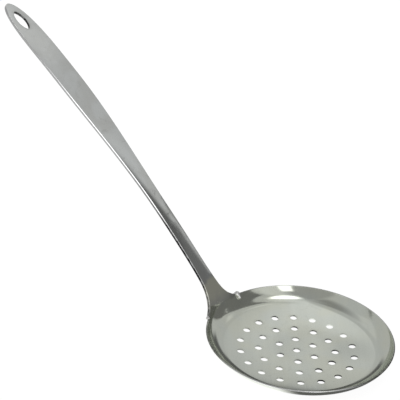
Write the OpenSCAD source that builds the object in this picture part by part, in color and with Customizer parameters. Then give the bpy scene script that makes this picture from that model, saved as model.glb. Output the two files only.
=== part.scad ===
// Kitchen skimmer: a shallow perforated dish with a long leaf-shaped strip handle
// Millimetres, +Z up. The dish axis is Z, the underside of its floor is at z = 0,
// and the handle rises from the rim towards +X.

/* [Dish] */
// Width of the dish across its rim
dish_d = 120; // [100:1:150]
// Height of the rim above the underside of the floor
dish_h = 12; // [10:0.5:16]
// Thickness of the dish sheet
dish_t = 1; // [0.8:0.1:2]
// Width of the flat at the middle of the floor
flat_d = 24; // [12:1:40]
// Slope of the floor where the shoulder begins, in degrees
floor_slope = 8.5; // [4:0.5:11]
// Slope of the wall at the rim, in degrees
rim_slope = 64; // [55:1:75]

/* [Drain holes] */
// Width of one drain hole
hole_d = 4.7; // [2.5:0.1:5.5]
// Radius of the inner ring of holes
ring_1_r = 12.5; // [11:0.1:13]
// Radius of the middle ring of holes
ring_2_r = 24.5; // [22:0.1:26]
// Radius of the outer ring of holes
ring_3_r = 36.5; // [33:0.1:37.5]
// How far the whole pattern sits off the middle, across the handle
holes_shift = 2.5; // [0:0.5:4]

/* [Handle] */
// Length of the handle along its curve, from the bend above the rim to the tip
handle_l = 223; // [180:1:280]
// Thickness of the handle strip
handle_t = 2; // [1.5:0.1:3]
// Slope of the handle just above the rim, in degrees
neck_slope = 49.4; // [40:0.2:55]
// Slope of the handle at its tip, in degrees
tip_slope = 36.6; // [30:0.2:39]
// Radius of the bend between the rim and the handle
root_bend_r = 84; // [40:1:100]
// Width of the flared root where it meets the rim
root_w = 36; // [26:1:40]
// Length over which the flare narrows
flare_l = 7.5; // [4:0.5:9]
// Width at the neck
neck_w = 11.4; // [8:0.2:14]
// Width at the widest place
blade_w = 21; // [15:0.5:25]
// Distance from the rim at which the handle begins to widen
widening_start = 72; // [40:1:75]
// Distance from the tip at which the handle reaches its full width
widening_end = 65; // [55:1:75]
// Length of the rounded tip
tip_l = 51; // [30:1:55]
// How square the rounded tip is: 2 makes it elliptical
tip_squareness = 3.3; // [2:0.1:4]

/* [Hanging eye] */
// Width of the hanging eye at its middle
eye_w = 7.6; // [5:0.2:9.2]
// Length of the hanging eye
eye_l = 14.8; // [12:0.2:20]
// How pointed its two ends are: 1 makes it elliptical
eye_point = 1.2; // [1:0.1:1.6]
// Distance from the tip to the eye
eye_gap = 7.6; // [6:0.2:12]

/* [Weld] */
// Gap between the dish's cut edge and the end of the strip, which the weld fills
joint_gap = 0.2; // [0.1:0.05:0.4]
// Radius of the bead along the underside of the joint
bead_r = 1.4; // [1:0.1:1.8]
// Radius of the lump of weld metal at each end of the joint
lump_r = 1.8; // [1.4:0.1:2.4]
// How far each lump sits past the root's corner, along the rim
lump_past = 1; // [0:0.1:2]
// Drops of weld metal that ran down the inner wall below one of the lumps
drops = 2; // [0:1:3]
// Radius of each drop
drop_r = 0.95; // [0.9:0.05:1.2]
// How far down the wall each drop sits from the one before
drop_down = 1.5; // [1:0.1:1.5]
// How far along the rim each drop sits from the one before
drop_past = 0.7; // [0:0.1:0.7]

/* [Hidden] */
$fn = 96;

// The rim's inner edge: the sheet ends square to its own slope
rim_r = dish_d / 2 - dish_t * sin(rim_slope);
rim_z = dish_h;

// The floor arc and the shoulder arc meet in one tangent and end at the rim
flat_r = flat_d / 2;
floor_rise = tan(floor_slope / 2);
shoulder_run = sin(rim_slope) - sin(floor_slope);
shoulder_rise = cos(floor_slope) - cos(rim_slope);
shoulder_r = (rim_z - dish_t - (rim_r - flat_r) * floor_rise)
    / (shoulder_rise - shoulder_run * floor_rise);
floor_r = rim_r - shoulder_r * shoulder_run;
floor_arc_r = (floor_r - flat_r) / sin(floor_slope);
floor_arc_centre = [flat_r, dish_t + floor_arc_r];
shoulder_centre = [rim_r, rim_z] + shoulder_r * [-sin(rim_slope), cos(rim_slope)];

// The handle's upper face starts at the rim's inner edge and bends outwards
root_centre = [rim_r, rim_z] + root_bend_r * [sin(rim_slope), -cos(rim_slope)];
neck_end = root_centre + root_bend_r * [-sin(neck_slope), cos(neck_slope)];
handle_arc_r = handle_l * 180 / PI / (neck_slope - tip_slope);
handle_centre = neck_end + handle_arc_r * [sin(neck_slope), -cos(neck_slope)];
tip_end = handle_centre + handle_arc_r * [-sin(tip_slope), cos(tip_slope)];
tip_run = tip_end - [rim_r, rim_z];
handle_rise = atan2(tip_run[1], tip_run[0]);
handle_reach = norm(tip_run);

// Steps along the floor's arc and along the shoulder's arc
floor_steps = 4;
shoulder_steps = 12;

// Holes in each ring, from the middle outwards
rings = [[0, 1], [ring_1_r, 6], [ring_2_r, 12], [ring_3_r, 18]];

// The joint runs along the rim between the two corners of the root
root_half_angle = asin(root_w / 2 / rim_r);

// The band that the strip is cut from runs this many degrees past the root's corners
band_spare = 8;

// Height of the punch that cuts the eye, well past both faces of the strip
punch_h = 10 * handle_t;

// The handle's outline has this many points along each of its three stretches
outline_steps = 20;

// Steps around the eye
eye_steps = 48;

dish();
handle();
weld_seam();

// A strip of a ring between two directions, given in degrees around its centre
module arc_band(centre, inner_r, outer_r, from, to) {
    translate(centre)
        intersection() {
            difference() {
                circle(r = outer_r);
                circle(r = inner_r);
            }
            polygon([
                [0, 0],
                2 * outer_r * [cos(from), sin(from)],
                2 * outer_r * [cos(to), sin(to)]
            ]);
        }
}

// Points along an arc, from one slope of the sheet to another
function arc_points(centre, r, from, to, steps) = [
    for (i = [0 : steps])
        let (slope = from + i * (to - from) / steps)
        centre + r * [sin(slope), -cos(slope)]
];

// Half of the dish's section, from the axis to the rim: the shoulder's arc leaves out its first
// point, because the floor's arc has just ended there
module dish_section() {
    shoulder_from = floor_slope + (rim_slope - floor_slope) / shoulder_steps;
    polygon(concat(
        [[0, 0]],
        arc_points(floor_arc_centre, floor_arc_r + dish_t, 0, floor_slope, floor_steps),
        arc_points(shoulder_centre, shoulder_r + dish_t, shoulder_from, rim_slope, shoulder_steps - 1),
        arc_points(shoulder_centre, shoulder_r, rim_slope, shoulder_from, shoulder_steps - 1),
        arc_points(floor_arc_centre, floor_arc_r, floor_slope, 0, floor_steps),
        [[0, dish_t]]
    ));
}

// The side view of the handle strip: both of its arcs start where the root bend ends
module handle_section() {
    root_turn = rim_slope - neck_slope - joint_gap * 180 / PI / root_bend_r;
    handle_turn = neck_slope - tip_slope;
    translate(neck_end)
        rotate(neck_slope) {
            arc_band([0, -root_bend_r], root_bend_r - handle_t, root_bend_r, 90, 90 + root_turn);
            arc_band([0, -handle_arc_r], handle_arc_r - handle_t, handle_arc_r, 90 - handle_turn, 90);
        }
}

// A section turned about the dish axis through an angle that the handle's line halves
module turned(angle) {
    rotate([0, 0, -angle / 2])
        rotate_extrude(angle = angle, $fn = 180)
            children();
}

// The whole pattern of drain holes, as upright pins
module drain_pins() {
    translate([0, holes_shift, 0])
        for (ring = rings)
            for (i = [0 : ring[1] - 1])
                rotate([0, 0, i * 360 / ring[1]])
                    translate([ring[0], 0, -dish_t])
                        cylinder(d = hole_d, h = dish_h, $fn = 32);
}

// The pressed sheet before it is punched
module dish_sheet() {
    rotate_extrude($fn = 180)
        dish_section();
}

module dish() {
    color([0.70, 0.71, 0.69])
        difference() {
            dish_sheet();
            drain_pins();
        }
}

// Rises gently from 0 to 1 as t goes from 0 to 1, and stays there
function eased(t) = let (u = min(max(t, 0), 1)) u * u * (3 - 2 * u);

// Where the root's corners lie along the handle's line, a little behind the rim's middle
root_start = -(rim_r - rim_r * cos(root_half_angle)) * cos(handle_rise);

// Half the strip's width at a distance from the rim along the handle's line
function flare_part(a) = (root_w - neck_w) / 2 * exp((root_start - a) / flare_l);
function blade_part(a) = (blade_w - neck_w) / 2
    * eased((a - widening_start) / (handle_reach - widening_end - widening_start));
function tip_part(a) = sqrt(1 - pow(max(0, 1 - (handle_reach - a) / tip_l), tip_squareness));
function half_width(a) = min(root_w / 2, (neck_w / 2 + flare_part(a) + blade_part(a)) * tip_part(a));

// The outline starts a little before the root's corners, so that the rim's own curve ends the strip,
// and the corners lie between two of its points
flare_end = root_start + 5 * flare_l;
tip_start = handle_reach - tip_l;
flare_step = (flare_end - root_start) / outline_steps;
outline_places = [
    for (i = [-4 : outline_steps]) root_start + (i - 0.5) * flare_step,
    for (i = [1 : outline_steps]) flare_end + i * (tip_start - flare_end) / outline_steps,
    for (i = [1 : outline_steps]) tip_start + tip_l * sin(i * 90 / outline_steps)
];

// The strip's outline as it was stamped, with its root at the left
module handle_outline() {
    last = len(outline_places) - 1;
    polygon([
        for (i = [0 : last]) [outline_places[i], half_width(outline_places[i])],
        for (i = [last - 1 : -1 : 0]) [outline_places[i], -half_width(outline_places[i])]
    ]);
}

// The eye's distance to one side of its middle line, in a direction around its centre
function eye_side(turn) = eye_w / 2 * sign(sin(turn)) * pow(abs(sin(turn)), eye_point);

// The leaf-shaped eye, with one of its ends at the origin and no point on its middle line
module eye_outline() {
    polygon([
        for (i = [0 : eye_steps - 1])
            let (turn = (i + 0.5) * 360 / eye_steps)
            [-eye_l / 2 * (1 - cos(turn)), eye_side(turn)]
    ]);
}

// Stands a flat outline upright on a line that rises at a slope, with its origin at a point
module upright_on_slope(point, slope, height) {
    translate([point[0], 0, point[1]])
        rotate([0, -slope, 0])
            translate([0, 0, -height / 2])
                linear_extrude(height = height)
                    children();
}

module handle() {
    eye_slope = tip_slope + (eye_gap + eye_l / 2) * 180 / PI / handle_arc_r;
    color([0.67, 0.68, 0.67])
        difference() {
            intersection() {
                turned(2 * (root_half_angle + band_spare))
                    handle_section();
                upright_on_slope([rim_r, rim_z], handle_rise, handle_reach)
                    handle_outline();
            }
            upright_on_slope(tip_end, eye_slope, punch_h)
                translate([-eye_gap, 0])
                    eye_outline();
        }
}

// A point in the dish wall, by its depth below the inner face and its distance down from the rim
function wall_point(depth, down) =
    let (slope = rim_slope - down * 180 / PI / shoulder_r)
    shoulder_centre + (shoulder_r + depth) * [sin(slope), -cos(slope)];

// A ball of weld metal in the wall, past the root's corner by a length along the rim
module lump(side, past, depth, down, r) {
    place = wall_point(depth, down);
    rotate([0, 0, side * (root_half_angle + past / rim_r * 180 / PI)])
        translate([place[0], 0, place[1]])
            sphere(r = r);
}

// Half of the joint's section: the bead from below, and the filler that is flush with the inner face
module bead_section() {
    mid_depth = (dish_t + handle_t) / 2;
    translate([rim_r, rim_z])
        rotate(rim_slope) {
            translate([0, -mid_depth])
                circle(r = bead_r, $fn = 32);
            translate([-joint_gap, -mid_depth])
                square([3 * joint_gap, mid_depth]);
        }
}

// The weld fills the joint between the root's corners, and each drop sinks halfway into the sheet
module weld_seam() {
    color([0.78, 0.78, 0.77])
        difference() {
            union() {
                turned(2 * root_half_angle)
                    bead_section();
                for (side = [-1, 1])
                    lump(side, lump_past, dish_t / 2, 0, lump_r);
                if (drops > 0)
                    for (i = [1 : drops])
                        lump(-1, lump_past + i * drop_past, dish_t / 2 - drop_r, i * drop_down, drop_r);
            }
            dish_sheet();
            handle();
        }
}
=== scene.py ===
"""A stainless kitchen skimmer: the pressed dish, the strip handle, the weld, and the studio around them."""
import logging
import math
from collections.abc import Callable, Sequence
from dataclasses import dataclass, field
from enum import Enum

import bpy
from mathutils import Euler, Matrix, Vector, geometry


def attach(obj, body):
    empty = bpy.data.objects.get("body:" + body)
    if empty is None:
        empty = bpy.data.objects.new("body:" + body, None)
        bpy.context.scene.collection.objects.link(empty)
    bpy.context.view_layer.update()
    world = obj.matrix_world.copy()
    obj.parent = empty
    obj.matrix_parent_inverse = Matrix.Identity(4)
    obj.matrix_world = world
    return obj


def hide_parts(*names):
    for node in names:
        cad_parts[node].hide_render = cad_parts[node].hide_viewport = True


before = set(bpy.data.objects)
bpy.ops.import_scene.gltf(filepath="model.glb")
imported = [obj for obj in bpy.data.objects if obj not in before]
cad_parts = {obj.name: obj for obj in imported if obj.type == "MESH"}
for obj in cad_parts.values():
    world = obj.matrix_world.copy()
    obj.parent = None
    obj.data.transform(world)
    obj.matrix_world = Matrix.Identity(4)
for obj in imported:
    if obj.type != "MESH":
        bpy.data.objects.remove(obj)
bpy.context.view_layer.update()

MM = 0.001
STRAIGHT = 1e-9
BODY = "root"
# Keys of the edge marks: the first is polish, painted bright as a highlight too; the second is bare cut, painted near
# black as shade on cut faces and hole walls.
WEAR_AND_GLINT = "wear_and_glint"
CUT_AND_SHADE = "cut"

Flat = tuple[float, float]
Marks = tuple[float, float]
Place = tuple[float, float, float]
Colour = tuple[float, float, float, float]
Socket = bpy.types.NodeSocket
Source = Socket | Colour | Place | float
log = logging.getLogger("skimmer")


def grey(level: float) -> Colour:
    """Makes a neutral colour, as light as the level says in linear light."""
    return (level, level, level, 1.0)


@dataclass(frozen=True)
class Fade:
    """A smooth change of a level, over a stretch of something that is measured."""

    start: float
    end: float
    before: float = 0.0
    after: float = 1.0

    def at(self, value: float) -> float:
        """Gives the level at one measure."""
        share = min(max((value - self.start) / (self.end - self.start), 0.0), 1.0)
        return self.before + (self.after - self.before) * (share * share * (3 - 2 * share))


@dataclass(frozen=True)
class Arc:
    """A part of the dish's round: the direction of its middle, and how it fades to both sides, in degrees."""

    middle: float
    fade: Fade

    def share(self, at: Flat) -> float:
        """Gives its strength in the direction of a place."""
        turn = math.degrees(math.atan2(at[1], at[0])) % 360
        return self.fade.at(abs(turn - self.middle))


@dataclass(frozen=True)
class Turned:
    """A face turned about the dish's axis: its curve has stretches of steady bend, each tangent to the last."""

    start: Flat
    slope: float
    stretches: tuple[tuple[float, float], ...]

    @property
    def length(self) -> float:
        """The curve's whole length."""
        return sum(length for length, _ in self.stretches)

    def along(self, s: float) -> tuple[float, float, float]:
        """Follows the curve.

        Args:
            s: The length followed from its start.

        Returns:
            The radius, the height and the slope there.
        """
        r, z = self.start
        slope = self.slope
        last = len(self.stretches) - 1
        for i, (length, end_slope) in enumerate(self.stretches):
            part = s if i == last else min(s, length)
            bend = (end_slope - slope) / length
            if abs(bend) < STRAIGHT:
                r, z = r + part * math.cos(slope), z + part * math.sin(slope)
            else:
                turned = slope + bend * part
                r += (math.sin(turned) - math.sin(slope)) / bend
                z -= (math.cos(turned) - math.cos(slope)) / bend
                slope = turned
            s -= part
            if s <= 0:
                break
        return r, z, slope

    def place(self, s: float, turn: float) -> tuple[Vector, Vector]:
        """Finds a point of the face.

        Args:
            s: The length along the curve.
            turn: The angle around the axis.

        Returns:
            The point, and the upward normal there.
        """
        r, z, slope = self.along(s)
        c, d = math.cos(turn), math.sin(turn)
        return (
            Vector((r * c, r * d, z)),
            Vector((-math.sin(slope) * c, -math.sin(slope) * d, math.cos(slope))),
        )


@dataclass(frozen=True)
class EdgeLook:
    """How an edge was finished: the polish of its corners and of its wall, painted bright as a highlight, its bare
    cut, painted dark as shade, and its bevel's slope.
    """

    corner_wear_and_glint: float
    wall_wear_and_glint: float
    rawness_and_shade: float
    bevel: float = 0.0
    bevel_start: float = 0.1
    bevel_end: float = 1.5
    corner_rawness_and_shade: float = 0.1

    def marks(self, angle: float, wear_and_glint: float, raw_and_shade: float) -> Marks:
        """Says how much polish and how much bare cut the edge shows at one place of its section; the polish is
        painted bright as a highlight, the cut dark as shade.

        Args:
            angle: The angle round the edge, from the upper face to the lower one.
            wear_and_glint: How much polish, and painted highlight, this stretch of the edge has.
            raw_and_shade: How much bare cut, and painted shade, this stretch of the edge has.

        Returns:
            The polish mark, painted as highlight, and the cut mark, painted as shade, there, each from 0 to 1.
        """
        on_wall = max(0.0, math.sin(angle)) ** 3
        on_corner = abs(math.sin(2 * angle))
        # Polish, most on the corners, is painted bright as a highlight; bare cut, most on the wall, is painted near
        # black as shade.
        edge_marks = wear_and_glint * (self.corner_wear_and_glint * on_corner + self.wall_wear_and_glint * on_wall)
        rawness_and_shade = raw_and_shade * self.rawness_and_shade * (self.corner_rawness_and_shade + on_wall)
        return min(1.0, edge_marks), min(1.0, rawness_and_shade)

    def lean(self, angle: float) -> float:
        """Gives the surface's own angle, which is steady where the upper corner has a bevel."""
        return self.bevel if self.bevel and self.bevel_start < angle < self.bevel_end else angle


class EdgeKind(Enum):
    """The kinds of edges that the sheets have."""

    POLISHED = EdgeLook(corner_wear_and_glint=1.0, wall_wear_and_glint=0.35, rawness_and_shade=1.0)
    TRIMMED = EdgeLook(corner_wear_and_glint=1.0, wall_wear_and_glint=0.3, rawness_and_shade=1.5, bevel=math.radians(40.4))
    PUNCHED = EdgeLook(corner_wear_and_glint=0.0, wall_wear_and_glint=0.0, rawness_and_shade=1.6)


def everywhere(at: Flat) -> Marks:
    """Marks an edge at full strength all along, for polish painted as highlight and for bare cut painted as shade."""
    return 1.0, 1.0


@dataclass
class Loop:
    """One closed edge of a sheet, drawn on its upper face with the metal on its left."""

    points: list[Flat]
    rounding: Callable[[Flat], float]
    kind: EdgeKind
    use: Callable[[Flat], Marks] = everywhere

    def outward(self, i: int) -> Vector:
        """Gives the direction out of the metal.

        Args:
            i: The number of one of the points.

        Returns:
            The direction there, of length 1.
        """
        before, after = self.points[i - 1], self.points[(i + 1) % len(self.points)]
        run = Vector((after[0] - before[0], after[1] - before[1])).normalized()
        return Vector((run.y, -run.x))


@dataclass
class Sheet:
    """A sheet of steel with rounded edges: its upper face, its thickness, its loops, the points between them."""

    name: str
    thickness: float
    face: Callable[[Flat], tuple[Vector, Vector]]
    loops: list[Loop]
    inner_points: list[Flat]
    round_steps: int = 4
    nudge: float = 0.02 * MM
    least_share: float = 5e-4
    same_point: float = 1e-9
    verts: list[Vector] = field(default_factory=list)
    normals: list[Vector] = field(default_factory=list)
    marks: list[Marks] = field(default_factory=list)
    faces: list[tuple[int, ...]] = field(default_factory=list)

    def _add(self, point: Vector, normal: Vector, marks: Marks = (0.0, 0.0)) -> int:
        """Adds a vertex.

        Args:
            point: Its place.
            normal: The surface's direction there, of any length.
            marks: How much polish, painted as highlight, and how much bare cut, painted as shade, the metal has
                there.

        Returns:
            The vertex's number.
        """
        self.verts.append(point)
        self.normals.append(normal.normalized())
        self.marks.append(marks)
        return len(self.verts) - 1

    def _profile(self, rounding: float) -> list[tuple[float, float, float]]:
        """Lists the edge's section.

        Args:
            rounding: The radius of both of its corners.

        Returns:
            The inset, the depth and the angle of each of its points, from the upper face round to the lower one.
        """
        section = []
        for half in (0, 1):
            for k in range(self.round_steps + 1):
                angle = math.pi / 2 * (half + k / self.round_steps)
                depth = rounding * (1 - math.cos(angle))
                if half:
                    depth = self.thickness - rounding * (1 + math.cos(angle))
                section.append((rounding * (1 - math.sin(angle)), depth, angle))
        return section

    def _edge_rings(self, loop: Loop) -> list[list[int]]:
        """Makes the rings of vertices that carry a loop's edge.

        Args:
            loop: The loop.

        Returns:
            The numbers of each ring's vertices, from the upper face to the lower one.
        """
        rings: list[list[int]] = [[] for _ in self._profile(0.0)]
        look = loop.kind.value
        for i, (u, v) in enumerate(loop.points):
            out = loop.outward(i)
            point, _ = self.face((u, v))
            beyond, _ = self.face((u + out.x * self.nudge, v + out.y * self.nudge))
            side = (beyond - point).normalized()
            rounding = loop.rounding((u, v))
            wear_and_glint, raw_and_shade = loop.use((u, v))
            for ring, (inset, depth, angle) in zip(rings, self._profile(rounding)):
                at, up = self.face((u - out.x * inset, v - out.y * inset))
                lean = look.lean(angle)
                tilt = up * math.cos(lean) + side * math.sin(lean)
                ring.append(self._add(at - up * depth, tilt, look.marks(angle, wear_and_glint, raw_and_shade)))
        return rings

    def _close_edge(self, rings: list[list[int]]) -> None:
        """Joins neighbouring rings with faces.

        Args:
            rings: The numbers of each ring's vertices.
        """
        count = len(rings[0])
        for upper, lower in zip(rings, rings[1:]):
            for i in range(count):
                j = (i + 1) % count
                self.faces.append((upper[i], lower[i], lower[j], upper[j]))

    def _fill(self, all_rings: list[list[list[int]]]) -> None:
        """Covers the upper and the lower face between the loops.

        Args:
            all_rings: The rings of each loop's edge.
        """
        flat: list[Vector] = []
        constraints: list[tuple[int, int]] = []
        top: list[int] = []
        bottom: list[int] = []
        owner: list[int] = []
        for number, (loop, rings) in enumerate(zip(self.loops, all_rings)):
            first = len(flat)
            for i, (u, v) in enumerate(loop.points):
                out = loop.outward(i)
                inset = loop.rounding((u, v))
                flat.append(Vector((u - out.x * inset, v - out.y * inset)))
                constraints.append((first + i, first + (i + 1) % len(loop.points)))
                owner.append(number)
            top += rings[0]
            bottom += rings[-1]
        for u, v in self.inner_points:
            point, normal = self.face((u, v))
            flat.append(Vector((u, v)))
            owner.append(-1)
            top.append(self._add(point, normal))
            bottom.append(self._add(point - normal * self.thickness, -normal))
        outline = flat[: len(self.loops[0].points)]
        cut = geometry.delaunay_2d_cdt(flat, constraints, [], 0, self.same_point, True)
        origin = [ids[0] for ids in cut[3]]
        for triangle in cut[2]:
            a, b, c = (origin[k] for k in triangle)
            corners = [flat[k] for k in (a, b, c)]
            if owner[a] == owner[b] == owner[c] >= 0 and not self._has_metal(owner[a], corners, outline):
                continue
            self.faces.append((top[a], top[b], top[c]))
            self.faces.append((bottom[c], bottom[b], bottom[a]))

    def _has_metal(self, number: int, corners: Sequence[Vector], outline: Sequence[Vector]) -> bool:
        """Tells whether a triangle between three points of one loop is on the sheet.

        Args:
            number: The loop's number: 0 is the outline, and the others are holes.
            corners: The triangle's corners.
            outline: The sheet's outline, inside its rounded edge.

        Returns:
            Whether there is metal there, more than a sliver.
        """
        first, second, third = corners
        longest = max((second - first).length, (third - second).length, (first - third).length)
        if number > 0 or abs((second - first).cross(third - first)) < self.least_share * longest**2:
            return False
        at = (first + second + third) / 3
        inside = False
        for before, after in zip(outline, outline[1:] + outline[:1]):
            if (before.y > at.y) != (after.y > at.y):
                crossing = before.x + (after.x - before.x) * (at.y - before.y) / (after.y - before.y)
                inside ^= at.x < crossing
        return inside

    def build(self) -> bpy.types.Object:
        """Builds the sheet's mesh.

        Returns:
            The new object, with its true normals and with its edges marked for polish and bare cut, which the steel
            paints as highlight and shade.
        """
        all_rings = [self._edge_rings(loop) for loop in self.loops]
        for rings in all_rings:
            self._close_edge(rings)
        self._fill(all_rings)
        return make_object(self.name, self.verts, self.faces, self.normals, self.marks)


def make_object(
    name: str,
    verts: Sequence[Vector],
    faces: Sequence[tuple[int, ...]],
    normals: Sequence[Vector] | None = None,
    marks: Sequence[Marks] | None = None,
) -> bpy.types.Object:
    """Makes a smooth mesh object.

    Args:
        name: The object's name.
        verts: Its points.
        faces: Its faces, as numbers of points.
        normals: The normal at each point, or nothing where the faces give it.
        marks: How much polish, painted as highlight, and how much bare cut, painted as shade, each point has, or
            nothing.

    Returns:
        The object, linked to the scene.
    """
    mesh = bpy.data.meshes.new(name)
    mesh.from_pydata([tuple(v) for v in verts], [], [tuple(f) for f in faces])
    mesh.update()
    mesh.shade_smooth()
    for number, key in enumerate((WEAR_AND_GLINT, CUT_AND_SHADE)):
        values = [pair[number] for pair in marks] if marks else [0.0] * len(verts)
        mesh.attributes.new(key, "FLOAT", "POINT").data.foreach_set("value", values)
    if normals:
        mesh.normals_split_custom_set_from_vertices([tuple(n) for n in normals])
    thing = bpy.data.objects.new(name, mesh)
    bpy.context.scene.collection.objects.link(thing)
    return thing


def circle(centre: Flat, radius: float, count: int, clockwise: bool = False) -> list[Flat]:
    """Lists the points of a circle.

    Args:
        centre: Its centre.
        radius: Its radius.
        count: How many points it has.
        clockwise: Whether it runs clockwise.

    Returns:
        The points, in order.
    """
    way = -1 if clockwise else 1
    turns = [way * 2 * math.pi * i / count for i in range(count)]
    return [(centre[0] + radius * math.cos(t), centre[1] + radius * math.sin(t)) for t in turns]


def spaced(start: float, end: float, count: int) -> list[float]:
    """Lists evenly spaced values from after the start up to the end."""
    return [start + (end - start) * i / count for i in range(1, count + 1)]


@dataclass
class Dish:
    """The pressed and punched dish."""

    width: float = 120 * MM
    height: float = 12 * MM
    thickness: float = 1 * MM
    flat_width: float = 24 * MM
    floor_slope: float = math.radians(8.5)
    rim_slope: float = math.radians(64)
    hole_width: float = 4.7 * MM
    rings: tuple[tuple[float, int], ...] = ((0.0, 1), (12.5 * MM, 6), (24.5 * MM, 12), (36.5 * MM, 18))
    holes_shift: float = 2.5 * MM
    edge_round: float = 0.45 * MM
    hole_round: float = 0.03 * MM
    rim_points: int = 288
    hole_points: int = 28
    floor_step: float = 2 * MM
    wall_step: float = 0.7 * MM
    hole_margin: float = 0.5 * MM
    joint_half_angle: float = math.radians(18)
    joint_widening: float = 1.25
    joint_rounding: float = 0.06
    # The rim edge's cut face is painted dark as shade all round; in two arcs, towards the camera and away from it, it
    # is painted bright as a highlight and less dark.
    scraped_and_glint: Arc = Arc(108, Fade(32, 57, 1.0, 0.0))
    rubbed_and_glint: Arc = Arc(290, Fade(55, 80, 0.5, 0.0))
    rim_rawness_and_shade: float = 0.8
    rim_polish_and_glint: float = 0.4
    # Hole walls are painted near black as shade, except the outer holes round one arc and the holes towards one side,
    # which are left light.
    outer_holes: Fade = Fade(30 * MM, 33 * MM)
    unshaded_arc: Arc = Arc(220, Fade(62, 78, 0.9, 0.0))
    unshaded_way: Flat = (0.38, 0.92)
    unshaded_side: Fade = Fade(4 * MM, 14 * MM, 0.0, 0.6)

    def __post_init__(self) -> None:
        """Works out the curve of the inner face."""
        self.curve = self.inner_face()

    @property
    def rim_r(self) -> float:
        """The radius of the rim's inner edge."""
        return self.width / 2 - self.thickness * math.sin(self.rim_slope)

    @property
    def shoulder_r(self) -> float:
        """The radius of the bend between floor and wall.

        Returns:
            The radius that makes the dish as high as it is.
        """
        rise_share = math.tan(self.floor_slope / 2)
        run = math.sin(self.rim_slope) - math.sin(self.floor_slope)
        rise = math.cos(self.floor_slope) - math.cos(self.rim_slope)
        flat_r = self.flat_width / 2
        return (self.height - self.thickness - (self.rim_r - flat_r) * rise_share) / (rise - run * rise_share)

    @property
    def floor_r(self) -> float:
        """The radius at which the floor ends and the shoulder begins."""
        return self.rim_r - self.shoulder_r * (math.sin(self.rim_slope) - math.sin(self.floor_slope))

    def inner_face(self) -> Turned:
        """Works out the dish's inner face.

        Returns:
            The face, from its middle to its rim.
        """
        flat_r = self.flat_width / 2
        floor_arc_r = (self.floor_r - flat_r) / math.sin(self.floor_slope)
        return Turned(
            start=(0.0, self.thickness),
            slope=0.0,
            stretches=(
                (flat_r, 0.0),
                (floor_arc_r * self.floor_slope, self.floor_slope),
                (self.shoulder_r * (self.rim_slope - self.floor_slope), self.rim_slope),
            ),
        )

    def hole_centres(self) -> list[Flat]:
        """Places the drain holes.

        Returns:
            Their middles, as seen from above.
        """
        centres = []
        for radius, count in self.rings:
            for i in range(count):
                turn = 2 * math.pi * i / count
                centres.append((radius * math.cos(turn), radius * math.sin(turn) + self.holes_shift))
        return centres

    def face(self, at: Flat) -> tuple[Vector, Vector]:
        """Places a point of the flattened dish on the pressed one."""
        return self.curve.place(math.hypot(*at), math.atan2(at[1], at[0]))

    def rim_rounding(self, at: Flat) -> float:
        """Gives the rim's rounding, which ends where the handle is welded on.

        Args:
            at: A place on the rim.

        Returns:
            The radius there.
        """
        turn = abs(math.atan2(at[1], at[0]))
        free = Fade(self.joint_half_angle, self.joint_half_angle * self.joint_widening)
        return self.edge_round * max(self.joint_rounding, free.at(turn))

    def rim_marks(self, at: Flat) -> Marks:
        """Says where the rim edge is painted bright as a highlight, in two arcs, and how dark its cut face is painted
        as shade.
        """
        wear_and_glint = max(self.scraped_and_glint.share(at), self.rubbed_and_glint.share(at))
        return wear_and_glint, self.rim_rawness_and_shade - self.rim_polish_and_glint * wear_and_glint

    def hole_rounding(self, at: Flat) -> float:
        """Gives the rounding of every hole's edge."""
        return self.hole_round

    def hole_marks(self, at: Flat) -> Marks:
        """Says how dark a hole's wall is painted as shade: the outer holes round an arc opposite the handle, and the
        holes towards one side, are left light.

        Args:
            at: A place on the hole's edge.

        Returns:
            No highlight, and how dark the wall is painted as shade.
        """
        u, v = at[0], at[1] - self.holes_shift
        unshaded_arc = self.outer_holes.at(math.hypot(u, v)) * self.unshaded_arc.share((u, v))
        unshaded = self.unshaded_side.at(self.unshaded_way[0] * u + self.unshaded_way[1] * v)
        return 0.0, 1 - max(unshaded_arc, unshaded)

    def build(self) -> bpy.types.Object:
        """Builds the dish.

        Returns:
            The dish as a new object, in the place of the plain one.
        """
        holes = self.hole_centres()
        rim = circle((0.0, 0.0), self.curve.length, self.rim_points)
        loops = [Loop(rim, self.rim_rounding, EdgeKind.POLISHED, self.rim_marks)]
        for centre in holes:
            ring = circle(centre, self.hole_width / 2, self.hole_points, clockwise=True)
            loops.append(Loop(ring, self.hole_rounding, EdgeKind.PUNCHED, self.hole_marks))
        return Sheet("pressed_dish", self.thickness, self.face, loops, self._inner_points(holes)).build()

    def _inner_points(self, holes: Sequence[Flat]) -> list[Flat]:
        """Spreads points over the face, closer together where it bends, and clear of the holes.

        Args:
            holes: The middles of the holes.

        Returns:
            The points, on the flattened face.
        """
        wall_start = self.curve.length - self.curve.stretches[-1][0]
        wall = self.curve.length - wall_start
        steps, wall_steps = round(wall_start / self.floor_step), round(wall / self.wall_step)
        radii = [wall_start * i / steps for i in range(steps)]
        radii += [wall_start + wall * i / wall_steps for i in range(wall_steps)]
        clear = self.hole_width / 2 + self.hole_round + self.hole_margin
        points = []
        for number, radius in enumerate(radii):
            count = max(1, round(2 * math.pi * radius / self.floor_step))
            if radius >= wall_start:
                count = self.rim_points
            for i in range(count):
                turn = 2 * math.pi * (i + number % 2 / 2) / count
                at = (radius * math.cos(turn), radius * math.sin(turn))
                if all(math.dist(at, hole) > clear for hole in holes):
                    points.append(at)
        return points


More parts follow.
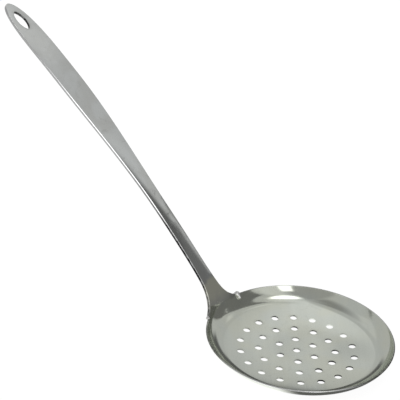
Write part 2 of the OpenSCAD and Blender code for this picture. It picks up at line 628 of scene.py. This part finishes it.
@dataclass
class Handle:
    """The stamped and bent strip."""

    dish: Dish
    length: float = 223 * MM
    thickness: float = 2 * MM
    neck_slope: float = math.radians(49.4)
    tip_slope: float = math.radians(36.6)
    root_bend_r: float = 84 * MM
    root_w: float = 36 * MM
    flare_l: float = 7.5 * MM
    neck_w: float = 11.4 * MM
    blade_w: float = 21 * MM
    widening_start: float = 72 * MM
    widening_end: float = 65 * MM
    tip_l: float = 51 * MM
    tip_squareness: float = 3.3
    eye_w: float = 7.6 * MM
    eye_l: float = 14.8 * MM
    eye_point: float = 1.2
    eye_gap: float = 7.6 * MM
    joint_gap: float = 0.02 * MM
    edge_round: float = 0.55 * MM
    eye_round: float = 0.3 * MM
    root_rounding: float = 0.01 * MM
    flare_steps: int = 60
    blade_steps: int = 50
    tip_steps: int = 48
    eye_steps: int = 96
    row_step: float = 2 * MM
    rows_apart: float = 2.2 * MM
    flare_spread: float = 5.0
    follow_rounds: int = 8
    root_margin: float = 0.2 * MM
    edge_margin: float = 0.5 * MM
    eye_margin: float = 0.8 * MM
    free_edge: Fade = Fade(0.5 * MM, 4 * MM)
    # Along the strip: its edges are painted bright as a highlight, less near the root; its cut faces are painted dark
    # as shade, most on the neck and less at the root and on the blade.
    wear_and_glint: Fade = Fade(20 * MM, 50 * MM, 0.35, 1.0)
    sheared_and_shaded: Fade = Fade(10 * MM, 30 * MM, 0.5, 1.0)
    smoothed_and_lighter: Fade = Fade(56 * MM, 76 * MM, 0.0, -0.8)

    def __post_init__(self) -> None:
        """Works out the handle's curve, and its straight line from the rim to the tip."""
        self.curve = self.upper_face()
        r, z, _ = self.curve.along(self.curve.length)
        run, rise = r - self.dish.rim_r, z - self.dish.height
        self.line_slope = math.atan2(rise, run)
        self.reach = math.hypot(run, rise)
        self.half_angle = math.asin(self.root_w / 2 / self.dish.rim_r)
        self.root_start = -self.dish.rim_r * (1 - math.cos(self.half_angle)) * math.cos(self.line_slope)

    @property
    def eye_middle(self) -> float:
        """The place of the hanging eye's middle, along the curve."""
        return self.curve.length - self.eye_gap - self.eye_l / 2

    def upper_face(self) -> Turned:
        """Works out the strip's upper face.

        Returns:
            The face, from the rim to the tip.
        """
        return Turned(
            start=(self.dish.rim_r, self.dish.height),
            slope=self.dish.rim_slope,
            stretches=(
                (self.root_bend_r * (self.dish.rim_slope - self.neck_slope), self.neck_slope),
                (self.length, self.tip_slope),
            ),
        )

    def face(self, at: Flat) -> tuple[Vector, Vector]:
        """Places a point of the flat strip on the bent one."""
        r, _, _ = self.curve.along(at[0])
        return self.curve.place(at[0], math.asin(at[1] / r))

    def rounding(self, at: Flat) -> float:
        """Gives the edge's rounding, which ends at the joint."""
        return max(self.root_rounding, self.edge_round * self.free_edge.at(at[0]))

    def eye_rounding(self, at: Flat) -> float:
        """Gives the rounding of the eye's edge."""
        return self.eye_round

    def use(self, at: Flat) -> Marks:
        """Says how bright the edge is painted as a highlight, and how dark its cut face is painted as shade, most on
        the neck.
        """
        return self.wear_and_glint.at(at[0]), self.sheared_and_shaded.at(at[0]) + self.smoothed_and_lighter.at(at[0])

    def half_width(self, a: float) -> float:
        """Gives half the strip's width.

        Args:
            a: The distance from the rim along the handle's straight line.

        Returns:
            Half of the width there.
        """
        flare = (self.root_w - self.neck_w) / 2 * math.exp((self.root_start - a) / self.flare_l)
        widening = Fade(self.widening_start, self.reach - self.widening_end)
        blade = (self.blade_w - self.neck_w) / 2 * widening.at(a)
        near_tip = max(0.0, 1 - (self.reach - a) / self.tip_l)
        tip = math.sqrt(max(0.0, 1 - near_tip**self.tip_squareness))
        return min(self.root_w / 2, (self.neck_w / 2 + flare + blade) * tip)

    def _along_line(self, x: float, z: float) -> float:
        """Measures a place's distance from the rim along the handle's straight line."""
        run, rise = x - self.dish.rim_r, z - self.dish.height
        return run * math.cos(self.line_slope) + rise * math.sin(self.line_slope)

    def _follow(self, a: float, y: float) -> float:
        """Finds the length along the curve of a place on the outline.

        Args:
            a: The distance from the rim along the handle's straight line.
            y: The distance from the handle's middle.

        Returns:
            The length along the curve.
        """
        s = max(a, 0.0)
        for _ in range(self.follow_rounds):
            r, z, slope = self.curve.along(s)
            run = self._along_line(math.sqrt(r * r - y * y), z)
            s += (a - run) / math.cos(slope - self.line_slope)
        return s

    def outline(self) -> list[Flat]:
        """Draws the strip's outline on its flattened face.

        Returns:
            Its points, counter-clockwise from one corner of the root.
        """
        corner = self.root_w / 2
        flare_end = self.root_start + self.flare_spread * self.flare_l
        tip_start = self.reach - self.tip_l
        places = spaced(self.root_start, flare_end, self.flare_steps)
        places += spaced(flare_end, tip_start, self.blade_steps)
        turns = [math.pi / 2 * i / self.tip_steps for i in range(1, self.tip_steps + 1)]
        places += [tip_start + self.tip_l * math.sin(turn) for turn in turns]
        side = [(self._follow(a, self.half_width(a)), self.half_width(a)) for a in places]
        side = [at for at in side if at[0] > self.joint_gap + self.root_margin]
        root_count = round(self.root_w / self.rows_apart)
        root = [(self.joint_gap, corner - self.root_w * i / root_count) for i in range(root_count + 1)]
        lower = [(s, -w) for s, w in side]
        return root + lower + list(reversed(side[:-1]))

    def eye(self) -> list[Flat]:
        """Draws the leaf-shaped hanging eye on the flattened face.

        Returns:
            Its points, clockwise.
        """
        points = []
        for i in range(self.eye_steps):
            turn = -2 * math.pi * (i + 0.5) / self.eye_steps
            across = math.copysign(abs(math.sin(turn)) ** self.eye_point, math.sin(turn))
            points.append((self.eye_middle + self.eye_l / 2 * math.cos(turn), self.eye_w / 2 * across))
        return points

    def build(self) -> bpy.types.Object:
        """Builds the handle.

        Returns:
            The handle as a new object, in the place of the plain one.
        """
        loops = [
            Loop(self.outline(), self.rounding, EdgeKind.TRIMMED, self.use),
            Loop(self.eye(), self.eye_rounding, EdgeKind.PUNCHED),
        ]
        return Sheet("strip_handle", self.thickness, self.face, loops, self._inner_points()).build()

    def _inner_points(self) -> list[Flat]:
        """Spreads rows of points over the strip, clear of its edges and of its eye.

        Returns:
            The points, on the flattened face.
        """
        points = []
        rows = round(self.curve.length / self.row_step)
        for k in range(1, rows):
            s = self.curve.length * k / rows
            r, z, _ = self.curve.along(s)
            half = self.half_width(self._along_line(r, z)) - (self.edge_round + self.edge_margin)
            count = int(2 * half / self.rows_apart)
            for i in range(count + 1):
                y = (i / count * 2 - 1) * half if count else 0.0
                if not self._near_eye(s, y):
                    points.append((s, y))
        return points

    def _near_eye(self, s: float, y: float) -> bool:
        """Tells whether a place of the flat strip is in the eye or next to its edge."""
        margin = self.edge_round + self.eye_margin
        return math.hypot((s - self.eye_middle) / (self.eye_l / 2 + margin), y / (self.eye_w / 2 + margin)) < 1


@dataclass
class Weld:
    """The weld metal: a bead below the joint, a lump at each end of it, and drops on the inner wall."""

    dish: Dish
    handle: Handle
    bead_r: float = 1.4 * MM
    lump_r: float = 1.8 * MM
    lump_past: float = 0.7 * MM
    drop_r: float = 1.1 * MM
    drop_down: float = 1.5 * MM
    drop_past: float = 0.2 * MM
    drops: int = 2
    ripple: float = 0.12
    beads: int = 46
    grain: float = 0.28 * MM
    swell: float = 1.76
    crowding: float = 0.66
    far_lump: float = 0.5
    threshold: float = 0.6

    def wall_point(self, depth: float, down: float, turn: float) -> Vector:
        """Finds a point in the dish's wall.

        Args:
            depth: Its depth below the inner face.
            down: How far it is down the wall from the rim.
            turn: Its angle around the dish's axis.

        Returns:
            The point.
        """
        point, normal = self.dish.curve.place(self.dish.curve.length - down, turn)
        return point - normal * depth

    def build(self) -> bpy.types.Object:
        """Builds the weld by letting balls of metal run together.

        Returns:
            The weld as a new object, in the place of the plain one.
        """
        half = self.handle.half_angle
        mid_depth = (self.dish.thickness + self.handle.thickness) / 2
        balls: list[tuple[Vector, float]] = []
        for i in range(self.beads):
            turn = half * (2 * i / (self.beads - 1) - 1)
            radius = self.bead_r * self.crowding * (1 - self.ripple * (i % 2))
            balls.append((self.wall_point(mid_depth, 0.0, turn), radius))
        for side, size in ((-1, 1.0), (1, self.far_lump)):
            turn = side * (half + self.lump_past * size / self.dish.rim_r)
            balls.append((self.wall_point(self.dish.thickness / 2, 0.0, turn), self.lump_r * size))
        for i in range(1, self.drops + 1):
            turn = -(half + (self.lump_past + i * self.drop_past) / self.dish.rim_r)
            depth = self.dish.thickness / 2 - self.drop_r
            balls.append((self.wall_point(depth, i * self.drop_down, turn), self.drop_r))
        return self._run_together(balls)

    def _run_together(self, balls: Sequence[tuple[Vector, float]]) -> bpy.types.Object:
        """Melts balls into one surface, in millimetres because its cells can't be as small in metres.

        Args:
            balls: Each ball's centre and radius.

        Returns:
            The surface as a mesh object.
        """
        melt = bpy.data.metaballs.new("melt")
        melt.resolution = melt.render_resolution = self.grain / MM
        melt.threshold = self.threshold
        for centre, radius in balls:
            ball = melt.elements.new()
            ball.co = centre / MM
            ball.radius = radius * self.swell / MM
        source = bpy.data.objects.new("melt", melt)
        bpy.context.scene.collection.objects.link(source)
        bpy.context.view_layer.update()
        seen = source.evaluated_get(bpy.context.evaluated_depsgraph_get())
        melted = bpy.data.meshes.new_from_object(seen)
        verts = [v.co * MM for v in melted.vertices]
        faces = [tuple(p.vertices) for p in melted.polygons]
        bpy.data.objects.remove(source)
        bpy.data.metaballs.remove(melt)
        bpy.data.meshes.remove(melted)
        return make_object("weld_bead", verts, faces)


class Nodes:
    """A short way to place and join shader nodes in one tree."""

    def __init__(self, tree: bpy.types.NodeTree) -> None:
        """Starts with an empty tree."""
        self.tree = tree
        tree.nodes.clear()

    def add(self, kind: str, **settings: object) -> bpy.types.Node:
        """Places a node.

        Args:
            kind: The node's type.
            settings: The properties to set on it.

        Returns:
            The node.
        """
        node = self.tree.nodes.new(kind)
        for key, value in settings.items():
            setattr(node, key, value)
        return node

    def join(self, source: Source, target: Socket) -> None:
        """Joins an output to an input, or sets the input to a plain value.

        Args:
            source: The output or the value.
            target: The input.
        """
        if isinstance(source, Socket):
            self.tree.links.new(source, target)
        else:
            target.default_value = source

    def maths(self, operation: str, *values: Source) -> Socket:
        """Works out a value.

        Args:
            operation: What is worked out.
            values: The one to three values that it takes.

        Returns:
            The result.
        """
        node = self.add("ShaderNodeMath", operation=operation)
        for value, socket in zip(values, node.inputs):
            self.join(value, socket)
        return node.outputs[0]

    def spread(self, value: Source, fade: Fade) -> Socket:
        """Turns a measure into the level that a fade has there.

        Args:
            value: The measure.
            fade: The fade.

        Returns:
            The level.
        """
        node = self.add("ShaderNodeMapRange", interpolation_type="SMOOTHSTEP")
        for part, socket in zip((value, fade.start, fade.end, fade.before, fade.after), node.inputs):
            self.join(part, socket)
        return node.outputs[0]

    def mix(self, share: Source, a: Source, b: Source) -> Socket:
        """Mixes two colours.

        Args:
            share: The second colour's share.
            a: The first colour.
            b: The second colour.

        Returns:
            The mixed colour.
        """
        node = self.add("ShaderNodeMix", data_type="RGBA")
        for part, number in ((share, 0), (a, 6), (b, 7)):
            self.join(part, node.inputs[number])
        return node.outputs[2]

    def noise(
        self, place: Socket, scale: Source, detail: float = 2.0, roughness: float = 0.5, distortion: float = 0.0
    ) -> Socket:
        """Places a cloudy pattern.

        Args:
            place: Where it is looked up.
            scale: How fine it is.
            detail: How many finer layers it has.
            roughness: How strong those layers are.
            distortion: How much it swirls.

        Returns:
            Its level.
        """
        node = self.add("ShaderNodeTexNoise", noise_dimensions="3D")
        labels = ("Vector", "Scale", "Detail", "Roughness", "Distortion")
        for label, value in zip(labels, (place, scale, detail, roughness, distortion)):
            self.join(value, node.inputs[label])
        return node.outputs[0]

    def parts(self, vector: Socket) -> tuple[Socket, ...]:
        """Takes a vector apart.

        Args:
            vector: The vector.

        Returns:
            Its x, its y and its z.
        """
        node = self.add("ShaderNodeSeparateXYZ")
        self.join(vector, node.inputs[0])
        return tuple(node.outputs)

    def group(self, tree: bpy.types.NodeTree, place: Socket) -> bpy.types.Node:
        """Places a node group.

        Args:
            tree: The group.
            place: Where its patterns are looked up.

        Returns:
            The group's node.
        """
        node = self.add("ShaderNodeGroup", node_tree=tree)
        self.join(place, node.inputs["Place"])
        return node

    def finish(self, shader: bpy.types.Node, kind: str = "ShaderNodeOutputMaterial") -> None:
        """Joins a shader to the tree's output."""
        self.join(shader.outputs[0], self.add(kind).inputs[0])


def make_material(name: str) -> tuple[bpy.types.Material, Nodes]:
    """Starts a material.

    Args:
        name: Its name.

    Returns:
        The material and its nodes.
    """
    material = bpy.data.materials.new(name)
    material.use_nodes = True
    return material, Nodes(material.node_tree)


def make_group(
    name: str, amounts: dict[str, float], results: Sequence[str]
) -> tuple[bpy.types.NodeTree, Nodes, bpy.types.Node, bpy.types.Node]:
    """Starts a node group that takes a place and puts out masks or heights.

    Args:
        name: Its name.
        amounts: The usual values of its other inputs, by their names.
        results: The names of its outputs.

    Returns:
        The group, its nodes, its input node and its output node.
    """
    tree = bpy.data.node_groups.new(name, "ShaderNodeTree")
    tree.interface.new_socket("Place", in_out="INPUT", socket_type="NodeSocketVector")
    for label, value in amounts.items():
        tree.interface.new_socket(label, in_out="INPUT", socket_type="NodeSocketFloat").default_value = value
    for label in results:
        tree.interface.new_socket(label, in_out="OUTPUT", socket_type="NodeSocketFloat")
    net = Nodes(tree)
    return tree, net, net.add("NodeGroupInput"), net.add("NodeGroupOutput")


@dataclass
class Effects:
    """The surface effects that all the steel shares, each built once as a node group."""

    scratches: tuple[tuple[Place, float], ...] = (((0.03, 1.0, 0.4), 1.0), ((0.012, 0.35, 0.2), 0.4))
    streaks: Fade = Fade(0.36, 0.64)
    clouds: Fade = Fade(0.35, 0.65)
    smudges: Fade = Fade(0.56, 0.72)
    smudge_fineness: float = 3.1
    nicks: Fade = Fade(0.3, 0.62, 0.55, 1.0)
    nick_scale: float = 420.0
    unevenness: Fade = Fade(0.35, 0.65, -1 * MM, 1 * MM)
    uneven_scale: float = 160.0
    # Patch next to the weld: ground and heat-tinted, and painted lighter as well to lift the dark that the steel
    # mirrors there.
    ground_lit_top: Fade = Fade(25.5 * MM, 28 * MM, 1.0, 0.0)
    ground_lit_foot: Fade = Fade(12 * MM, 21 * MM, 0.3, 1.0)

    def __post_init__(self) -> None:
        """Builds the groups."""
        self.rubbing = self._rubbing()
        self.stains = self._stains()
        self.edge_marks = self._edge_marks()
        self.grinding_and_light = self._grinding_and_light()

    def _rubbing(self) -> bpy.types.NodeTree:
        """Builds fine rubbing marks: long thin scratches along one direction, at two sizes.

        Returns:
            The group.
        """
        amounts = {"Turn": 0.0, "Fineness": 900.0}
        tree, net, given, result = make_group("rubbing_marks", amounts, ("Height", "Streaks"))
        turn = net.add("ShaderNodeVectorRotate", rotation_type="Z_AXIS")
        net.join(given.outputs["Place"], turn.inputs["Vector"])
        net.join(given.outputs["Turn"], turn.inputs["Angle"])
        levels = []
        for squeeze, share in self.scratches:
            stretch = net.add("ShaderNodeVectorMath", operation="MULTIPLY")
            net.join(turn.outputs[0], stretch.inputs[0])
            net.join(squeeze, stretch.inputs[1])
            scale = net.maths("MULTIPLY", given.outputs["Fineness"], share)
            levels.append(net.noise(stretch.outputs[0], scale, detail=4.0, roughness=0.65))
        net.join(levels[0], result.inputs["Height"])
        net.join(net.spread(levels[1], self.streaks), result.inputs["Streaks"])
        return tree

    def _stains(self) -> bpy.types.NodeTree:
        """Builds rinsing stains and finger smudges: soft clouds with a few darker, sharper rims.

        Returns:
            The group.
        """
        tree, net, given, result = make_group("stains", {"Size": 40.0}, ("Clouds", "Smudges"))
        place, size = given.outputs["Place"], given.outputs["Size"]
        clouds = net.noise(place, size, detail=3.0, distortion=0.8)
        finer = net.maths("MULTIPLY", size, self.smudge_fineness)
        marks = net.noise(place, finer, detail=5.0, distortion=1.6)
        net.join(net.spread(clouds, self.clouds), result.inputs["Clouds"])
        net.join(net.spread(marks, self.smudges), result.inputs["Smudges"])
        return tree

    def _edge_marks(self) -> bpy.types.NodeTree:
        """Builds the edge marks, broken up a little along them: polish painted bright as a highlight, and bare cut
        painted dark as shade.

        Returns:
            The group.
        """
        tree, net, given, result = make_group("edge_wear_highlight_and_shade", {}, ("WearAndGlint", "CutAndShade"))
        broken = net.spread(net.noise(given.outputs["Place"], self.nick_scale, detail=3.0), self.nicks)
        for key, label in ((WEAR_AND_GLINT, "WearAndGlint"), (CUT_AND_SHADE, "CutAndShade")):
            mark = net.add("ShaderNodeAttribute", attribute_name=key)
            net.join(net.maths("MULTIPLY", mark.outputs["Fac"], broken), result.inputs[label])
        return tree

    def _grinding_and_light(self) -> bpy.types.NodeTree:
        """Builds the patch that was ground and heat-tinted next to the weld, also painted lighter to lift the dark
        that the steel mirrors there; strongest at its top and uneven.

        Returns:
            The group.
        """
        tree, net, given, result = make_group("weld_grinding_and_light", {}, ("GroundAndLit",))
        cloud = net.noise(given.outputs["Place"], self.uneven_scale)
        _, _, height = net.parts(given.outputs["Place"])
        height = net.maths("ADD", height, net.spread(cloud, self.unevenness))
        top, foot = net.spread(height, self.ground_lit_top), net.spread(height, self.ground_lit_foot)
        net.join(net.maths("MULTIPLY", top, foot), result.inputs["GroundAndLit"])
        return tree


@dataclass(frozen=True)
class Steel:
    """A steel finish: how light, how rough, how marked by rubbing and how stained the metal is, and the colours that
    paint highlight and shade on its edges.
    """

    name: str
    colour: Colour
    stain_colour: Colour
    roughness: float
    rubbing_turn: float = 0.0
    fineness: float = 900.0
    streaks: float = 0.05
    grain: float = 0.1
    grain_height: float = 0.004 * MM
    grain_strength: float = 0.6
    stain_size: float = 40.0
    staining: float = 0.35
    smudging: float = 0.05
    smudge_roughness: float = 0.8
    cut_roughness: float = 0.2
    # A heat tint next to the weld, painted lighter as well.
    ground_and_lit_colour: Colour | None = None
    # Edge colours: the polish colour paints a bright highlight on edges as well, the cut colour paints near-black
    # shade on cut faces and hole walls.
    wear_and_glint_colour: Colour = (0.95, 0.95, 0.96, 1.0)
    dull_colour: Colour = (0.2, 0.2, 0.19, 1.0)
    cut_and_shade_colour: Colour = (0.025, 0.025, 0.025, 1.0)

    def make(self, effects: Effects) -> bpy.types.Material:
        """Makes the material.

        Args:
            effects: The shared surface effects.

        Returns:
            The material.
        """
        material, net = make_material(self.name)
        place = net.add("ShaderNodeTexCoord").outputs["Object"]
        rubbing, stains = net.group(effects.rubbing, place), net.group(effects.stains, place)
        edge_marks = net.group(effects.edge_marks, place)
        net.join(self.rubbing_turn, rubbing.inputs["Turn"])
        net.join(self.fineness, rubbing.inputs["Fineness"])
        net.join(self.stain_size, stains.inputs["Size"])
        stained = net.maths("MULTIPLY", stains.outputs["Clouds"], self.staining)
        colour = net.mix(stained, self.colour, self.stain_colour)
        dulled = net.maths("MULTIPLY", rubbing.outputs["Streaks"], self.streaks)
        dulled = net.maths("MULTIPLY_ADD", stains.outputs["Smudges"], self.smudging, dulled)
        colour = net.mix(dulled, colour, self.dull_colour)
        # The patch next to the weld: heat tint, painted lighter as well.
        if self.ground_and_lit_colour:
            grinding_and_light = net.group(effects.grinding_and_light, place)
            colour = net.mix(grinding_and_light.outputs["GroundAndLit"], colour, self.ground_and_lit_colour)
        # Edges painted bright as a highlight, then cut faces and hole walls painted near black as shade.
        colour = net.mix(edge_marks.outputs["WearAndGlint"], colour, self.wear_and_glint_colour)
        colour = net.mix(edge_marks.outputs["CutAndShade"], colour, self.cut_and_shade_colour)
        rough = net.maths("MULTIPLY_ADD", rubbing.outputs["Height"], self.grain, self.roughness - self.grain / 2)
        smudged = self.smudging * self.smudge_roughness
        rough = net.maths("MULTIPLY_ADD", stains.outputs["Smudges"], smudged, rough)
        rough = net.maths("MULTIPLY_ADD", edge_marks.outputs["CutAndShade"], self.cut_roughness, rough)
        bump = net.add("ShaderNodeBump")
        net.join(self.grain_strength, bump.inputs["Strength"])
        net.join(self.grain_height, bump.inputs["Distance"])
        net.join(rubbing.outputs["Height"], bump.inputs["Height"])
        shader = net.add("ShaderNodeBsdfPrincipled")
        net.join(1.0, shader.inputs["Metallic"])
        net.join(colour, shader.inputs["Base Color"])
        net.join(rough, shader.inputs["Roughness"])
        net.join(bump.outputs[0], shader.inputs["Normal"])
        net.finish(shader)
        return material


class Finish(Enum):
    """The finishes that the skimmer has."""

    DISH = Steel(
        name="dish_steel",
        colour=(0.61, 0.64, 0.585, 1.0),
        stain_colour=(0.63, 0.645, 0.55, 1.0),
        roughness=0.11,
        rubbing_turn=math.radians(60),
        staining=0.6,
    )
    HANDLE = Steel(
        name="handle_steel",
        colour=(0.635, 0.655, 0.645, 1.0),
        stain_colour=(0.57, 0.58, 0.56, 1.0),
        roughness=0.085,
        fineness=700.0,
        stain_size=45.0,
        staining=0.9,
        smudging=0.1,
        ground_and_lit_colour=(0.86, 0.86, 0.73, 1.0),
    )
    WELD = Steel(
        name="weld_metal",
        colour=(0.78, 0.78, 0.77, 1.0),
        stain_colour=(0.5, 0.5, 0.48, 1.0),
        roughness=0.35,
        grain=0.2,
        stain_size=300.0,
        staining=0.5,
    )


def soft_edge(size: float, soft: float) -> Fade:
    """Makes the edge of a patch of that many degrees, 1 inside and 0 outside, as soft as told."""
    wide, edge = math.radians(size), math.radians(soft)
    return Fade(wide + edge / 2, wide - edge / 2)


@dataclass(frozen=True)
class Glow:
    """A soft-edged patch of the room that the steel mirrors, lighter or darker than the rest, in degrees."""

    azimuth: float
    elevation: float
    half_width: float
    half_height: float
    soft: float
    level: float
    soft_height: float | None = None
    slant: float = 0.0
    round: bool = False

    def mask(self, net: Nodes, way: Socket, azimuth: Socket, elevation: Socket) -> Socket:
        """Masks the glow.

        Args:
            net: The world's nodes.
            way: The direction looked in.
            azimuth: Its azimuth, in radians.
            elevation: Its elevation, in radians.

        Returns:
            1 in the glow and 0 outside.
        """
        az, el = math.radians(self.azimuth), math.radians(self.elevation)
        wide = soft_edge(self.half_width, self.soft)
        if self.round:
            dot = net.add("ShaderNodeVectorMath", operation="DOT_PRODUCT")
            net.join(way, dot.inputs[0])
            net.join((math.cos(el) * math.cos(az), math.cos(el) * math.sin(az), math.sin(el)), dot.inputs[1])
            return net.spread(net.maths("ARCCOSINE", net.maths("MINIMUM", dot.outputs["Value"], 1.0)), wide)
        tall = soft_edge(self.half_height, self.soft if self.soft_height is None else self.soft_height)
        turned = net.maths("WRAP", net.maths("SUBTRACT", azimuth, az), math.pi, -math.pi)
        middle = net.maths("MULTIPLY_ADD", turned, self.slant, el)
        up = net.maths("ABSOLUTE", net.maths("SUBTRACT", elevation, middle))
        across = net.spread(net.maths("ABSOLUTE", turned), wide)
        return net.maths("MULTIPLY", across, net.spread(up, tall))


@dataclass(frozen=True)
class Post:
    """One upright of a card: its place, the heights of its foot and its head, and its head's x if it leans."""

    x: float
    y: float
    foot: float
    head: float
    head_x: float | None = None

    def ends(self) -> tuple[Vector, Vector]:
        """Gives its foot and its head."""
        head_x = self.x if self.head_x is None else self.head_x
        return Vector((self.x, self.y, self.foot)), Vector((head_x, self.y, self.head))


@dataclass(frozen=True)
class Card:
    """A dark card that stands beside the skimmer, from post to post."""

    name: str
    posts: tuple[Post, ...]
    level: float = 0.2


@dataclass
class Studio:
    """The floor, the room that gives the light, and the camera."""

    eye_place: tuple[float, float, float] = (-0.21398, 0.51538, 0.37855)
    eye_turn: tuple[float, float, float] = (63.468, -3.026, -148.900)
    lens: float = 93.54
    sensor: float = 36.0
    clip: Flat = (0.01, 20.0)
    floor_size: float = 6.0
    floor_white: float = 0.94
    paper_level: float = 0.13
    lit_beside: Fade = Fade(-0.026, -0.010, 0.1, 1.25)
    lit_near: Fade = Fade(0.08, 0.12, 1.0, 0.1)
    lit_far: Fade = Fade(0.16, 0.27, 0.0, 0.55)
    room_level: float = 0.61
    glows: tuple[Glow, ...] = (
        Glow(345, 46, 25, 8, 12, 0.70, soft_height=6),
        Glow(107, 40, 32, 60, 9, 0.43, slant=-1.0),
        Glow(98, 10, 32, 11, 14, 1.5, soft_height=7),
        Glow(268, 74, 24, 9, 12, 0.86),
        Glow(262, 41, 8, 2.5, 5, 0.78, soft_height=4),
        Glow(279, 54, 6, 4, 9, 0.86, soft_height=8),
        Glow(294.5, 60, 6.5, 27, 11, 0.93, soft_height=36),
        Glow(20, 72, 50, 11, 20, 0.34),
        Glow(296, 35.5, 3, 3, 4, 0.62, soft_height=4),
        Glow(290, 2, 25, 15, 10, 0.14, soft_height=6),
        Glow(240, 28, 9, 5.5, 7, 0.68, soft_height=5),
        Glow(291, 11, 8, 8.8, 6, 0.12, soft_height=2.5),
        Glow(211, 2, 16, 21, 4, 0.16, soft_height=6),
        Glow(236.5, 2, 11, 23.4, 3, 0.15, soft_height=2.5, slant=0.45),
        Glow(163, 40, 14, 30, 12, 0.80),
        Glow(139, 31, 8.5, 19, 3, 2.1, soft_height=10),
        Glow(189, 77.3, 9.8, 9.8, 6, 2.3, round=True),
    )
    cards: tuple[Card, ...] = (
        Card(
            name="tall_flag",
            posts=(
                Post(-0.098, -0.30, 0.262, 0.62, head_x=0.02),
                Post(-0.135, -0.30, 0.243, 0.62),
                Post(-0.165, -0.30, 0.224, 0.62),
                Post(-0.22, -0.29, 0.186, 0.62),
                Post(-0.32, -0.25, 0.14, 0.62),
                Post(-0.40, -0.17, 0.10, 0.62),
                Post(-0.44, -0.045, 0.08, 0.62),
            ),
        ),
        Card(
            name="low_flag",
            posts=(
                Post(-0.044, -0.20, 0.0, 0.180, head_x=-0.040),
                Post(-0.066, -0.20, 0.0, 0.152),
                Post(-0.11, -0.20, 0.0, 0.132),
                Post(-0.125, -0.20, 0.0, 0.146),
                Post(-0.26, -0.20, 0.0, 0.14),
            ),
        ),
    )

    def build(self) -> None:
        """Sets the whole studio up."""
        self.camera()
        self.floor()
        for card in self.cards:
            self.flag(card)
        self.sky()

    def camera(self) -> None:
        """Places the camera as the photographer held it."""
        data = bpy.data.cameras.new("camera")
        data.lens = self.lens
        data.sensor_width = self.sensor
        data.clip_start, data.clip_end = self.clip
        thing = bpy.data.objects.new("camera", data)
        thing.location = self.eye_place
        thing.rotation_euler = Euler([math.radians(a) for a in self.eye_turn])
        bpy.context.scene.collection.objects.link(thing)
        bpy.context.scene.camera = thing

    def floor(self) -> None:
        """Lays the pale floor, which the steel mirrors as lit in some places only."""
        half = self.floor_size / 2
        corners = [Vector((x, y, 0.0)) for x, y in ((-half, -half), (half, -half), (half, half), (-half, half))]
        thing = make_object("floor", corners, [(0, 1, 2, 3)])
        material, net = make_material("floor_paper")
        place = net.add("ShaderNodeNewGeometry").outputs["Position"]
        length = net.add("ShaderNodeVectorMath", operation="LENGTH")
        net.join(place, length.inputs[0])
        away = length.outputs["Value"]
        beside = net.spread(net.parts(place)[0], self.lit_beside)
        lit = net.maths("MULTIPLY", beside, net.spread(away, self.lit_near))
        lit = net.maths("ADD", lit, net.spread(away, self.lit_far))
        path = net.add("ShaderNodeLightPath").outputs
        bounced = net.maths("MAXIMUM", path["Is Glossy Ray"], path["Is Transmission Ray"])
        mirrored = net.maths("MULTIPLY", bounced, lit)
        glow = net.add("ShaderNodeEmission")
        seen = net.maths("MULTIPLY_ADD", path["Is Camera Ray"], self.floor_white, mirrored)
        net.join(seen, glow.inputs["Strength"])
        paper = net.add("ShaderNodeBsdfDiffuse")
        net.join(grey(self.paper_level), paper.inputs["Color"])
        both = net.add("ShaderNodeAddShader")
        net.join(glow.outputs[0], both.inputs[0])
        net.join(paper.outputs[0], both.inputs[1])
        net.finish(both)
        thing.data.materials.append(material)

    def flag(self, card: Card) -> None:
        """Stands a dark card beside the skimmer, which only the steel mirrors.

        Args:
            card: The card.
        """
        count = len(card.posts)
        feet, heads = zip(*(post.ends() for post in card.posts))
        thing = make_object(card.name, feet + heads, [(i, i + 1, count + i + 1, count + i) for i in range(count - 1)])
        material, net = make_material(card.name)
        glow = net.add("ShaderNodeEmission")
        net.join(card.level, glow.inputs["Strength"])
        net.finish(glow)
        thing.data.materials.append(material)
        thing.visible_camera = thing.visible_diffuse = thing.visible_shadow = False

    def sky(self) -> None:
        """Lights the room from all round, with its glows, and shows white behind the skimmer."""
        world = bpy.data.worlds.new("room")
        world.use_nodes = True
        net = Nodes(world.node_tree)
        way = net.add("ShaderNodeTexCoord").outputs["Generated"]
        x, y, z = net.parts(way)
        azimuth, elevation = net.maths("ARCTAN2", y, x), net.maths("ARCSINE", z)
        light: Source = grey(self.room_level)
        for glow in self.glows:
            light = net.mix(glow.mask(net, way, azimuth, elevation), light, grey(glow.level))
        camera_ray = net.add("ShaderNodeLightPath").outputs["Is Camera Ray"]
        back = net.add("ShaderNodeBackground")
        net.join(net.mix(camera_ray, light, grey(1.0)), back.inputs[0])
        net.finish(back, "ShaderNodeOutputWorld")
        bpy.context.scene.world = world


def dress(thing: bpy.types.Object, material: bpy.types.Material, node: str) -> None:
    """Gives a piece its finish, sets it in the place of its plain solid and lets it ride along.

    Args:
        thing: The piece.
        material: Its finish.
        node: The plain solid that it stands for.
    """
    thing.data.materials.append(material)
    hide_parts(node)
    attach(thing, BODY)
    log.info("%s: %d points", thing.name, len(thing.data.vertices))


def main() -> None:
    """Builds the skimmer and its studio."""
    logging.basicConfig(level=logging.INFO, format="%(message)s")
    bpy.context.scene.view_settings.view_transform = "Standard"
    dish = Dish()
    handle = Handle(dish)
    weld = Weld(dish, handle)
    effects = Effects()
    for piece, finish, node in (
        (dish, Finish.DISH, "dish"),
        (handle, Finish.HANDLE, "handle"),
        (weld, Finish.WELD, "weld_seam"),
    ):
        dress(piece.build(), finish.value.make(effects), node)
    Studio().build()


if __name__ == "__main__":
    main()
